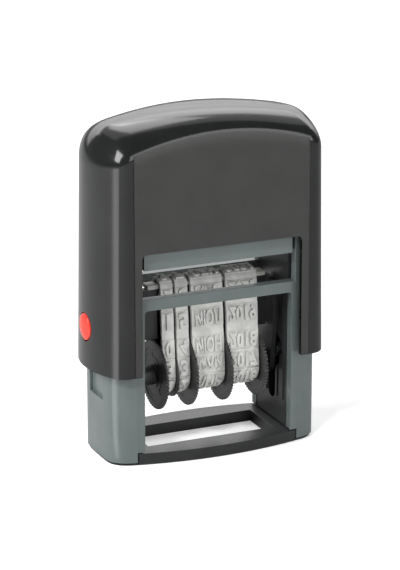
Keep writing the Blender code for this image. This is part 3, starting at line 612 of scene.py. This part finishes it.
def capRing(shape, turn):
    # the cap's outline part of the way over its shoulder, from 0 at the side to a quarter turn on the roof
    draw = 1 - math.cos(turn)
    crown = shape["face"] - shape["lean"] - shape["ridge"]
    wide = (shape["half"] - shape["draft"] - shape["corner"] * draw) / shape["half"]
    deep = (shape["face"] - shape["lean"] - crown * draw) / shape["face"]
    ring = []
    for x, y in capPlan(shape):
        side = (x / shape["half"]) ** 2
        drop = shape["shoulder"] + (shape["cornerDrop"] - shape["shoulder"]) * side
        sag = shape["sag"] * max(0.0, 1 - (x / shape["sagHalf"]) ** 2) * (1 - math.sin(turn)) ** 3
        height = capRoof(shape, x * wide) - drop * (1 - math.sin(turn)) - sag
        ring.append(Vector((x * wide, y * deep, height)))
    return ring


def addWindowCutter(shape, name):
    # a block with two rounded upper corners, for the window of the cap and of its panels
    low, high = shape["foot"] - shape["overrun"], shape["windowTop"]
    bpy.ops.mesh.primitive_cube_add(
        size=1, location=(0, 0, (low + high) / 2),
        scale=(2 * shape["windowHalf"], 2 * shape["cutterDepth"], high - low),
    )
    cutter = settle(bpy.context.object, name)
    roundEdges(cutter, shape["windowCorner"], 8, lambda ends: sameX(ends) and all(
        abs(end.z - high) < touch for end in ends
    ))
    return cutter


def roundLegs(piece, low, shape):
    # rounds the lower corners of the window, at this height
    roundEdges(piece, shape["legCorner"], 5, lambda ends: sameX(ends) and all(
        abs(abs(end.x) - shape["windowHalf"]) < touch and abs(end.z - low) < touch for end in ends
    ))


def makeCap(shape):
    plan = capPlan(shape)
    bpy.ops.mesh.primitive_circle_add(vertices=len(plan), radius=shape["half"])
    cap = settle(bpy.context.object, "cap_body")
    rings = []
    highest = capRing(shape, 0)
    for i in range(shape["wallRings"]):
        share = i / shape["wallRings"]
        rings.append([
            Vector((x, y, shape["foot"])).lerp(upper, share) for (x, y), upper in zip(plan, highest)
        ])
    rings += [
        capRing(shape, math.pi / 2 * i / shape["shoulderRings"]) for i in range(shape["shoulderRings"] + 1)
    ]
    roof = extrudeRings(cap, rings)
    count = len(roof)
    # strips from front to back close the roof
    for i in range(count // 2):
        strip = {roof[i], roof[i + 1], roof[-i]}
        if i + 1 < count // 2:
            strip.add(roof[-i - 1])
        bpy.ops.object.mode_set(mode="OBJECT")
        for group in (cap.data.vertices, cap.data.edges, cap.data.polygons):
            group.foreach_set("select", [False] * len(group))
        for index in strip:
            cap.data.vertices[index].select = True
        bpy.ops.object.mode_set(mode="EDIT")
        bpy.ops.mesh.select_mode(type="VERT")
        bpy.ops.mesh.edge_face_add()
    bpy.ops.object.mode_set(mode="OBJECT")
    turnOutwards(cap)
    applyModifier(cap, "SOLIDIFY", thickness=shape["wall"], offset=-1, use_even_offset=True)
    window = addWindowCutter(shape, "window_cutter")
    bpy.ops.mesh.primitive_cylinder_add(
        vertices=72, radius=shape["buttonHole"], depth=shape["drillLength"],
        location=(0, 0, shape["buttonHeight"]), rotation=(0, math.pi / 2, 0),
    )
    holes = bpy.context.object
    cutAway(cap, window, holes)
    roundLegs(cap, shape["foot"], shape)
    softEdges(cap, shape["edge"], 3, 40)
    smoothShade(cap, 28)
    applyModifier(cap, "WEIGHTED_NORMAL", keep_sharp=True)
    dress(cap, capGloss, "cap", "cap_dark", "cap_shell")
    print("cap modelled:", len(cap.data.polygons), "faces")


makeCap(capShape)

panelShape = {
    "half": 22.3 * mm,
    "apex": 79.7 * mm,
    "archFall": 3.5 * mm,
    "rise": 0.3 * mm,
    "root": 0.7 * mm,
    "lipDepth": 0.4 * mm,
    "lipHeight": 3.4 * mm,
    "columns": 60,
    "rows": 40,
    "rowBias": 1.6,  # above 1, rows lie closer together near the lip
    "edge": 0.16 * mm,
}


def makePanel(name, side, shape):
    # the raised satin panel: it leans with the cap's face, and has a soft lip along its arched upper edge
    low = capShape["foot"] + shape["rise"]
    bpy.ops.mesh.primitive_grid_add(
        x_subdivisions=shape["columns"], y_subdivisions=shape["rows"], size=2
    )
    panel = settle(bpy.context.object, name)
    for vertex in panel.data.vertices:
        u, v = vertex.co.x, (vertex.co.y + 1) / 2
        high = shape["apex"] - shape["archFall"] * u * u
        below = (high - low) * (1 - v) ** shape["rowBias"]
        sink = shape["lipDepth"] * max(0.0, 1 - below / shape["lipHeight"]) ** 2.0
        lean = capShape["lean"] * (high - below - capShape["foot"]) / (shape["apex"] - capShape["foot"])
        y = side * (capShape["face"] + shape["rise"] - sink - lean)
        vertex.co = (u * shape["half"], y, high - below)
    applyModifier(panel, "SOLIDIFY", thickness=shape["rise"] + shape["root"], offset=side)
    turnOutwards(panel)
    cutAway(panel, addWindowCutter(capShape, "panel_cutter"))
    roundLegs(panel, low, capShape)
    softEdges(panel, shape["edge"], 2, 50)
    smoothShade(panel, 30)
    dress(panel, capSatin, "cap", "cap_dark")


for name, side in (("cap_panel_front", -1), ("cap_panel_back", 1)):
    makePanel(name, side, panelShape)
print("cap panels modelled")

# Lock buttons
buttonShape = {
    "radius": 3.25 * mm,
    "lip": 0.6 * mm,
    "lipThickness": 0.7 * mm,
    "sink": 0.1 * mm,
    "dome": 0.7 * mm,
    "edge": 0.35 * mm,
    "steps": 72,
    "domeSteps": 8,
    "edgeSteps": 5,
    "clearance": 0.3 * mm,  # from the lip to the inside of the cap's wall
}


def makeButton(name, side, body, node, shape):
    # a domed push button, spun round its own axis
    rim = capShape["half"] - shape["sink"]
    inside = capShape["half"] - capShape["wall"] - shape["clearance"] - capShape["draft"] / 2
    back = inside - shape["lipThickness"]
    profile = [(0, rim + shape["dome"])]
    for i in range(1, shape["domeSteps"] + 1):
        r = (shape["radius"] - shape["edge"]) * i / shape["domeSteps"]
        profile.append((r, rim + shape["dome"] * (1 - (r / shape["radius"]) ** 2)))
    top = rim + shape["dome"] * (1 - ((shape["radius"] - shape["edge"]) / shape["radius"]) ** 2)
    for i in range(1, shape["edgeSteps"] + 1):
        turn = math.pi / 2 * i / shape["edgeSteps"]
        profile.append((
            shape["radius"] - shape["edge"] + shape["edge"] * math.sin(turn),
            top - shape["edge"] + shape["edge"] * math.cos(turn),
        ))
    profile += [(shape["radius"], inside), (shape["radius"] + shape["lip"], inside)]
    profile += [(shape["radius"] + shape["lip"], back), (0, back)]
    mesh = bpy.data.meshes.new(name)
    mesh.from_pydata(
        [(side * x, r, capShape["buttonHeight"]) for r, x in profile],
        [(i, i + 1) for i in range(len(profile) - 1)], [],
    )
    button = bpy.data.objects.new(name, mesh)
    bpy.context.scene.collection.objects.link(button)
    pick(button)
    bpy.ops.object.mode_set(mode="EDIT")
    bpy.ops.mesh.select_all(action="SELECT")
    bpy.ops.mesh.spin(
        steps=shape["steps"], angle=2 * math.pi, center=(0, 0, capShape["buttonHeight"]), axis=(1, 0, 0),
    )
    bpy.ops.object.mode_set(mode="OBJECT")
    turnOutwards(button)
    smoothShade(button, 35)
    dress(button, buttonRed, body, "button_red", node)


for side, word in ((-1, "left"), (1, "right")):
    makeButton(f"push_button_{word}", side, f"button_{word}", f"lock_button_{word}", buttonShape)
print("buttons modelled")

# Base, frame, cam plates, cassette, yoke and side plates keep their CAD shape, with moulded edges
# for each CAD node: the piece's name, its finish, body and slot, and how far its edges are rounded
mouldedPieces = {
    "base_housing": ("base_casing", baseSatin, "base", "base_grey", 0.22 * mm),
    "foot_frame": ("foot_rails", frameBlack, "base", "frame_black", 0.16 * mm),
    "cam_plate_left": ("cam_guide_left", frameBlack, "base", "frame_black", 0.1 * mm),
    "cam_plate_right": ("cam_guide_right", frameBlack, "base", "frame_black", 0.1 * mm),
    "pad_cassette": ("cassette_case", baseSatin, "cassette", "base_grey", 0.18 * mm),
    "yoke": ("yoke_frame", frameBlack, "cap", "frame_black", 0.15 * mm),
    "side_plate_left": ("cheek_left", frameBlack, "dater", "frame_black", 0.12 * mm),
    "side_plate_right": ("cheek_right", frameBlack, "dater", "frame_black", 0.12 * mm),
    "wheel_axle": ("axle_rod", axleSteel, "dater", "steel", 0.1 * mm),
    "axle_sleeve_left": ("sleeve_left", wheelBlack, "dater", "frame_black", 0.12 * mm),
    "axle_sleeve_right": ("sleeve_right", wheelBlack, "dater", "frame_black", 0.12 * mm),
    "band_separator": ("separator_washer", wheelBlack, "dater", "frame_black", 0.08 * mm),
}
railBow = {"swell": 1.2 * mm, "half": 20.6 * mm, "from": 10.5 * mm}


def bowRails(rails, shape):
    # the front and back faces swell a little more than the plain solid's
    for vertex in rails.data.vertices:
        if abs(vertex.co.y) > shape["from"] and abs(vertex.co.x) < shape["half"]:
            swell = shape["swell"] * (1 - (vertex.co.x / shape["half"]) ** 2)
            vertex.co.y += math.copysign(swell, vertex.co.y)


for node, (name, finish, body, slotName, edge) in mouldedPieces.items():
    piece = copyOfNode(node, name)
    if node == "foot_frame":
        bowRails(piece, railBow)
    softEdges(piece, edge, 2, 35)
    smoothShade(piece, 32)
    applyModifier(piece, "WEIGHTED_NORMAL", keep_sharp=True)
    dress(piece, finish, body, slotName, node)
print("moulded pieces finished:", len(mouldedPieces))

# Ink pad
padShape = {
    "half": (17.3 * mm, 9.0 * mm), "low": 48.1 * mm, "high": 50.6 * mm, "crown": 0.12 * mm, "edge": 0.5 * mm,
    "cuts": 10,
}


def makeInkPad(shape):
    middle = (shape["low"] + shape["high"]) / 2
    bpy.ops.mesh.primitive_cube_add(
        size=1, location=(0, 0, middle),
        scale=(2 * shape["half"][0], 2 * shape["half"][1], shape["high"] - shape["low"]),
    )
    pad = settle(bpy.context.object, "ink_pad_foam")
    pick(pad)
    bpy.ops.object.mode_set(mode="EDIT")
    bpy.ops.mesh.select_all(action="SELECT")
    bpy.ops.mesh.bevel(offset=shape["edge"], segments=3)
    bpy.ops.mesh.select_all(action="SELECT")
    bpy.ops.mesh.subdivide(number_cuts=shape["cuts"])
    bpy.ops.object.mode_set(mode="OBJECT")
    for vertex in pad.data.vertices:
        if vertex.co.z < middle:  # the working face stands a little proud at its middle
            u = vertex.co.x / shape["half"][0]
            v = vertex.co.y / shape["half"][1]
            vertex.co.z += shape["crown"] * (1 - (1 - u ** 4) * (1 - v ** 4))
    smoothShade(pad, 40)
    dress(pad, inkFoam, "cassette", "ink_foam", "ink_pad")


makeInkPad(padShape)
print("ink pad modelled")

# Main spring
springShape = {
    "radius": 5.5 * mm, "wire": 0.45 * mm, "turns": 6, "steps": 36, "low": 54.05 * mm, "high": 81.35 * mm,
    "foot": 53.3 * mm, "keep": 0.21,
}


def makeSpring(shape):
    count = shape["turns"] * shape["steps"]
    curve = bpy.data.curves.new("main_spring_wire", "CURVE")
    curve.dimensions = "3D"
    curve.bevel_depth = shape["wire"]
    curve.bevel_resolution = 3
    curve.use_fill_caps = True
    line = curve.splines.new("POLY")
    line.points.add(count)
    for i, point in enumerate(line.points):
        turn = 2 * math.pi * i / shape["steps"]
        height = shape["low"] + (shape["high"] - shape["low"]) * i / count
        point.co = (shape["radius"] * math.cos(turn), shape["radius"] * math.sin(turn), height, 1)
    spring = bpy.data.objects.new("main_spring_wire", curve)
    bpy.context.scene.collection.objects.link(spring)
    pick(spring)
    bpy.ops.object.convert(target="MESH")
    spring = bpy.context.object
    turnOutwards(spring)
    smoothShade(spring, 50)
    dress(spring, wireSteel, "base", "steel", "main_spring")
    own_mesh(spring)


makeSpring(springShape)
print("spring wound")

# Date bands: a belt for each field, with mirror-written characters raised on it
bandShape = {
    "drumHeight": 18.35 * mm,
    "drumRadius": 3.6 * mm,
    "crownHeight": 40.9 * mm,
    "crownHalf": 1.25 * mm,
    "crownRadius": 0.5 * mm,
    "thickness": 0.8 * mm,
    "plateau": 0.16 * mm,
    "plateauHalf": 2.25 * mm,
    "rise": 0.7 * mm,
    "characterHeight": 3.8 * mm,
    # places of the twelve rows along the belt's outer face, from the print line down the front and round
    "rowShares": (
        0.0, 0.0934, 0.1839, 0.2847, 0.3591, 0.4307, 0.5036, 0.5766, 0.6569, 0.7445, 0.8321, 0.9182,
    ),
    "stations": 220,
    "ramp": 0.1 * mm,  # half the length of the slope at a plateau's edge
    "root": 0.1 * mm,  # how deep the characters are rooted in the belt
    "boldness": 0.04,
    "oneShare": 0.55,  # the figure 1 is narrower than the others
    "slices": 10,
}
months = ("СЕН", "АВГ", "ИЮЛ", "ИЮН", "МАЙ", "АПР", "МАР", "ФЕВ", "ЯНВ", "ДЕК", "НОЯ", "ОКТ")
years = ("2021", "2020", "2019", "2018", "2017", "2016", "2015", "2014", "2025", "2024", "2023", "2022")
tens = ("3", "2", "1", "0", "3", "2", "1", "0", "3", "2", "1", "0")
units = ("7", "6", "5", "4", "3", "2", "1", "0", "9", "8", "9", "8")
bands = {
    "band_day_tens": {"ends": (-11.55 * mm, -8.45 * mm), "rows": tens, "width": 1.75 * mm},
    "band_day_units": {"ends": (-7.75 * mm, -4.65 * mm), "rows": units, "width": 2.05 * mm},
    "band_month": {"ends": (-3.75 * mm, 4.45 * mm), "rows": months, "width": 6.6 * mm},
    "band_year": {"ends": (5.35 * mm, 13.55 * mm), "rows": years, "width": 7.1 * mm},
}


def beltCircles(shape):
    # the outer face in side view: the drum's circle, the crown's front corner, and how far the front leans
    drum = (0.0, shape["drumHeight"], shape["drumRadius"] + shape["thickness"])
    front = (-shape["crownHalf"], shape["crownHeight"], shape["crownRadius"] + shape["thickness"])
    lean = math.asin((drum[2] - front[2]) / math.dist(drum[:2], front[:2]))
    lean -= math.atan2(shape["crownHalf"], shape["crownHeight"] - shape["drumHeight"])
    return drum, front, lean


def beltPlace(shape, distance, height):
    # a point at this distance along the belt from the print line, down the front first, and at this height
    # above the outer face, as y and z, with the length of the whole belt
    drum, front, lean = beltCircles(shape)
    top = shape["crownHalf"]
    cornerArc = (math.pi / 2 - lean) * front[2]
    straight = math.sqrt(math.dist(drum[:2], front[:2]) ** 2 - (drum[2] - front[2]) ** 2)
    drumArc = (math.pi / 2 + lean) * drum[2]
    half = top + cornerArc + straight + drumArc
    s = distance % (2 * half)
    mirror = 1
    if s > half:
        s, mirror = 2 * half - s, -1
    if s < top:
        y, z, ny, nz = -s, front[1] + front[2], 0.0, 1.0
    elif s < top + cornerArc:
        turn = (s - top) / front[2]
        ny, nz = -math.sin(turn), math.cos(turn)
        y, z = front[0] + front[2] * ny, front[1] + front[2] * nz
    elif s < top + cornerArc + straight:
        run = s - top - cornerArc
        ny, nz = -math.cos(lean), math.sin(lean)
        y = front[0] + front[2] * ny - run * math.sin(lean)
        z = front[1] + front[2] * nz - run * math.cos(lean)
    else:
        turn = lean - (s - top - cornerArc - straight) / drum[2]
        ny, nz = -math.cos(turn), math.sin(turn)
        y, z = drum[0] + drum[2] * ny, drum[1] + drum[2] * nz
    return mirror * (y + ny * height), z + nz * height, 2 * half


def makeBelt(name, values, shape):
    # the plain belt, with a low plateau under each row of characters
    around = beltPlace(shape, 0, 0)[2]
    rows = [share * around for share in shape["rowShares"]]
    places = {round(around * i / shape["stations"], 6) for i in range(shape["stations"])}
    for row in rows:
        for edge in (-1, 1):
            for step in (-shape["ramp"], shape["ramp"]):
                places.add(round((row + edge * shape["plateauHalf"] + step) % around, 6))
    places = sorted(places)

    def isPlateau(s):
        return min(min(abs(s - row), around - abs(s - row)) for row in rows) < shape["plateauHalf"]

    bpy.ops.mesh.primitive_circle_add(vertices=len(places), radius=shape["drumRadius"])
    belt = settle(bpy.context.object, name)
    for vertex, s in zip(belt.data.vertices, places):
        y, z, _ = beltPlace(shape, s, shape["plateau"] if isPlateau(s) else 0)
        vertex.co = (values["ends"][0], y, z)
    pick(belt)
    bpy.ops.object.mode_set(mode="EDIT")
    bpy.ops.mesh.select_all(action="SELECT")
    width = values["ends"][1] - values["ends"][0]
    bpy.ops.mesh.extrude_region_move(TRANSFORM_OT_translate={"value": (width, 0, 0)})
    bpy.ops.object.mode_set(mode="OBJECT")
    outer = [v.co.copy() for v in belt.data.vertices]
    pick(belt)
    bpy.ops.object.mode_set(mode="EDIT")
    bpy.ops.mesh.select_all(action="SELECT")
    bpy.ops.mesh.duplicate()
    bpy.ops.object.mode_set(mode="OBJECT")
    count = len(places)
    for i, vertex in enumerate(belt.data.vertices[len(outer):]):
        y, z, _ = beltPlace(shape, places[i % count], -shape["thickness"])
        vertex.co = (outer[i].x, y, z)
    # the two open rims are bridged to make the belt's edges
    for end in values["ends"]:
        bpy.ops.object.mode_set(mode="EDIT")
        bpy.ops.mesh.select_mode(type="EDGE")
        bpy.ops.mesh.select_all(action="DESELECT")
        bpy.ops.object.mode_set(mode="OBJECT")
        for edge in belt.data.edges:
            edge.select = all(abs(belt.data.vertices[i].co.x - end) < touch for i in edge.vertices)
        bpy.ops.object.mode_set(mode="EDIT")
        bpy.ops.mesh.bridge_edge_loops()
        bpy.ops.object.mode_set(mode="OBJECT")
    turnOutwards(belt)
    return belt, rows


def makeRow(word, row, middle, width, shape):
    # one row of characters: text made a mesh, sliced where the belt bends, and laid along the belt
    bpy.ops.object.text_add()
    text = bpy.context.object
    text.data.body = word
    text.data.resolution_u = 3
    text.data.extrude = 0.5  # any depth, since the front and back are laid at their own heights below
    text.data.offset = shape["boldness"]
    bpy.ops.object.convert(target="MESH")
    text = bpy.context.object
    xs = [v.co.x for v in text.data.vertices]
    ys = [v.co.y for v in text.data.vertices]
    wide, tall = max(xs) - min(xs), max(ys) - min(ys)
    if word == "1":
        width *= shape["oneShare"]
    for vertex in text.data.vertices:
        vertex.co.x = (vertex.co.x - (max(xs) + min(xs)) / 2) * width / wide
        vertex.co.y = (vertex.co.y - (max(ys) + min(ys)) / 2) * shape["characterHeight"] / tall
    pick(text)
    bpy.ops.object.mode_set(mode="EDIT")
    for i in range(1, shape["slices"]):
        bpy.ops.mesh.select_all(action="SELECT")
        bpy.ops.mesh.bisect(
            plane_co=(0, shape["characterHeight"] * (i / shape["slices"] - 0.5), 0), plane_no=(0, 1, 0),
        )
    bpy.ops.object.mode_set(mode="OBJECT")
    for vertex in text.data.vertices:
        height = shape["rise"] if vertex.co.z > 0 else -shape["root"]
        y, z, _ = beltPlace(shape, row + vertex.co.y, height)
        vertex.co = (middle + vertex.co.x, y, z)
    return text


def joinPieces(first, others, name):
    pick(first)
    for other in others:
        other.select_set(True)
    bpy.ops.object.join()
    first.name = first.data.name = name
    return first


for node, values in bands.items():
    belt, rows = makeBelt(node + "_belt", values, bandShape)
    middle = sum(values["ends"]) / 2
    words = [
        makeRow(word, row, middle, values["width"], bandShape) for word, row in zip(values["rows"], rows)
    ]
    characters = joinPieces(words[0], words[1:], node + "_characters")
    turnOutwards(characters)
    smoothShade(characters, 25)
    smoothShade(belt, 25)
    dress(belt, rubber, "dater", "band_rubber", node)
    dress(characters, rubber, "dater", "band_rubber")
print("date bands modelled")

# Thumb wheels
wheelShape = {
    "centre": 18.35 * mm,
    "radius": 8.5 * mm,
    "tooth": 0.4 * mm,
    "teeth": 56,
    "chamfer": 0.06 * mm,
    "bore": 1.45 * mm,
    "hub": 3.0 * mm,
    "web": (3.2 * mm, 4.3 * mm, 5.7 * mm, 6.6 * mm),  # foot of the hub, a slot's two edges, foot of the rim
    "rim": 6.8 * mm,
    "dish": 0.16 * mm,
    "drum": 3.4 * mm,
    "toothRun": 0.25 * mm,  # how far the teeth run in on the disc's sides
    "toothPoints": 4,  # points round the rim for each tooth, of which the first two stand out
    "slots": 4,
    "slotTurn": 60,
    "slotShare": 0.18,  # how far the first slot's middle lies on towards the next
    "slotWall": 0.12 * mm,
    "slotDepth": 0.09 * mm,
}
wheels = {
    "wheel_day_tens": {"disc": (-12.3 * mm, -11.7 * mm), "drumEnd": -8.45 * mm, "body": "wheel_1"},
    "wheel_day_units": {"disc": (-3.9 * mm, -4.5 * mm), "drumEnd": -7.75 * mm, "body": "wheel_2"},
    "wheel_month": {"disc": (5.2 * mm, 4.6 * mm), "drumEnd": -3.75 * mm, "body": "wheel_3"},
    "wheel_year": {"disc": (14.3 * mm, 13.7 * mm), "drumEnd": 5.35 * mm, "body": "wheel_4"},
}


def makeWheel(node, values, shape):
    # turned from one closed profile: bore, hub, dished web, toothed rim, and the drum that drives the band
    near, far = values["disc"]
    way = 1 if far > near else -1
    thick, end = abs(far - near), abs(values["drumEnd"] - near)
    dish, small = shape["dish"], shape["chamfer"]
    root = shape["radius"] - shape["tooth"]
    profile = [(0, shape["bore"], 0), (0, shape["hub"], 0)]
    profile += [(dish, r, 0) for r in shape["web"]]
    profile += [(0, shape["rim"], 0), (0, root - shape["toothRun"], 0), (0, root - small, 1)]
    profile += [(small, root, 1), (thick - small, root, 1), (thick, root - small, 1)]
    profile += [(thick, root - shape["toothRun"], 0), (thick, shape["rim"], 0)]
    profile += [(thick - dish, r, 0) for r in reversed(shape["web"][1:])]
    profile += [(thick - dish, shape["drum"], 0), (end - small, shape["drum"], 0)]
    profile += [(end, shape["drum"] - small, 0), (end, shape["bore"], 0)]
    count = shape["toothPoints"] * shape["teeth"]
    rings = []
    for along, radius, toothed in profile:
        ring = []
        for i in range(count):
            turn = 2 * math.pi * i / count
            r = radius + (shape["tooth"] if toothed and i % shape["toothPoints"] < 2 else 0)
            y, z = r * math.cos(turn), shape["centre"] + r * math.sin(turn)
            ring.append(Vector((near + way * along, y, z)))
        rings.append(ring)
    bpy.ops.mesh.primitive_circle_add(vertices=count, radius=shape["bore"])
    wheel = settle(bpy.context.object, node + "_disc")
    extrudeRings(wheel, rings, closed=True)
    turnOutwards(wheel)
    # shallow arc-shaped pockets in both sides of the web
    inner, outer = shape["web"][1], shape["web"][2]
    for slot in range(shape["slots"]):
        pick(wheel)
        bpy.ops.object.mode_set(mode="EDIT")
        bpy.ops.mesh.select_mode(type="FACE")
        bpy.ops.mesh.select_all(action="DESELECT")
        bpy.ops.object.mode_set(mode="OBJECT")
        middle = 2 * math.pi * (slot + shape["slotShare"]) / shape["slots"]
        for face in wheel.data.polygons:
            y, z = face.center.y, face.center.z - shape["centre"]
            off = (math.atan2(z, y) - middle + math.pi) % (2 * math.pi) - math.pi
            inSlot = inner < math.hypot(y, z) < outer and abs(off) < math.radians(shape["slotTurn"] / 2)
            face.select = inSlot and abs(face.normal.x) > 0.9
        bpy.ops.object.mode_set(mode="EDIT")
        bpy.ops.mesh.inset(thickness=shape["slotWall"], depth=-shape["slotDepth"])
        bpy.ops.object.mode_set(mode="OBJECT")
    turnOutwards(wheel)
    smoothShade(wheel, 30)
    dress(wheel, wheelBlack, values["body"], "wheel_black", node)


for node, values in wheels.items():
    makeWheel(node, values, wheelShape)
print("thumb wheels modelled")

# Print bridge: a light anvil under the bands, and the dark web that carries it
bridgeShape = {
    "ends": (-14.4 * mm, 16.4 * mm), "depth": 1.6 * mm, "low": 40.1 * mm, "high": 41.25 * mm,
    "edge": 0.25 * mm, "webHalf": 16.9 * mm, "webDepth": 0.9 * mm, "webLow": 27.45 * mm,
    "webGap": 0.02 * mm, "webEdge": 0.15 * mm,
}


def makeBridge(shape):
    low, high = shape["low"], shape["high"]
    bpy.ops.mesh.primitive_cube_add(
        size=1, location=(sum(shape["ends"]) / 2, 0, (low + high) / 2),
        scale=(shape["ends"][1] - shape["ends"][0], 2 * shape["depth"], high - low),
    )
    anvil = settle(bpy.context.object, "bridge_anvil")
    softEdges(anvil, shape["edge"], 3)
    smoothShade(anvil, 35)
    dress(anvil, bridgeLight, "dater", "bridge_light", "print_bridge")
    bpy.ops.mesh.primitive_cube_add(
        size=1, location=(0, 0, (shape["webLow"] + low) / 2),
        scale=(2 * shape["webHalf"], 2 * shape["webDepth"], low - shape["webLow"] - shape["webGap"]),
    )
    web = settle(bpy.context.object, "bridge_web")
    softEdges(web, shape["webEdge"], 2)
    smoothShade(web, 35)
    dress(web, frameBlack, "dater", "frame_black")


makeBridge(bridgeShape)
print("print bridge modelled")
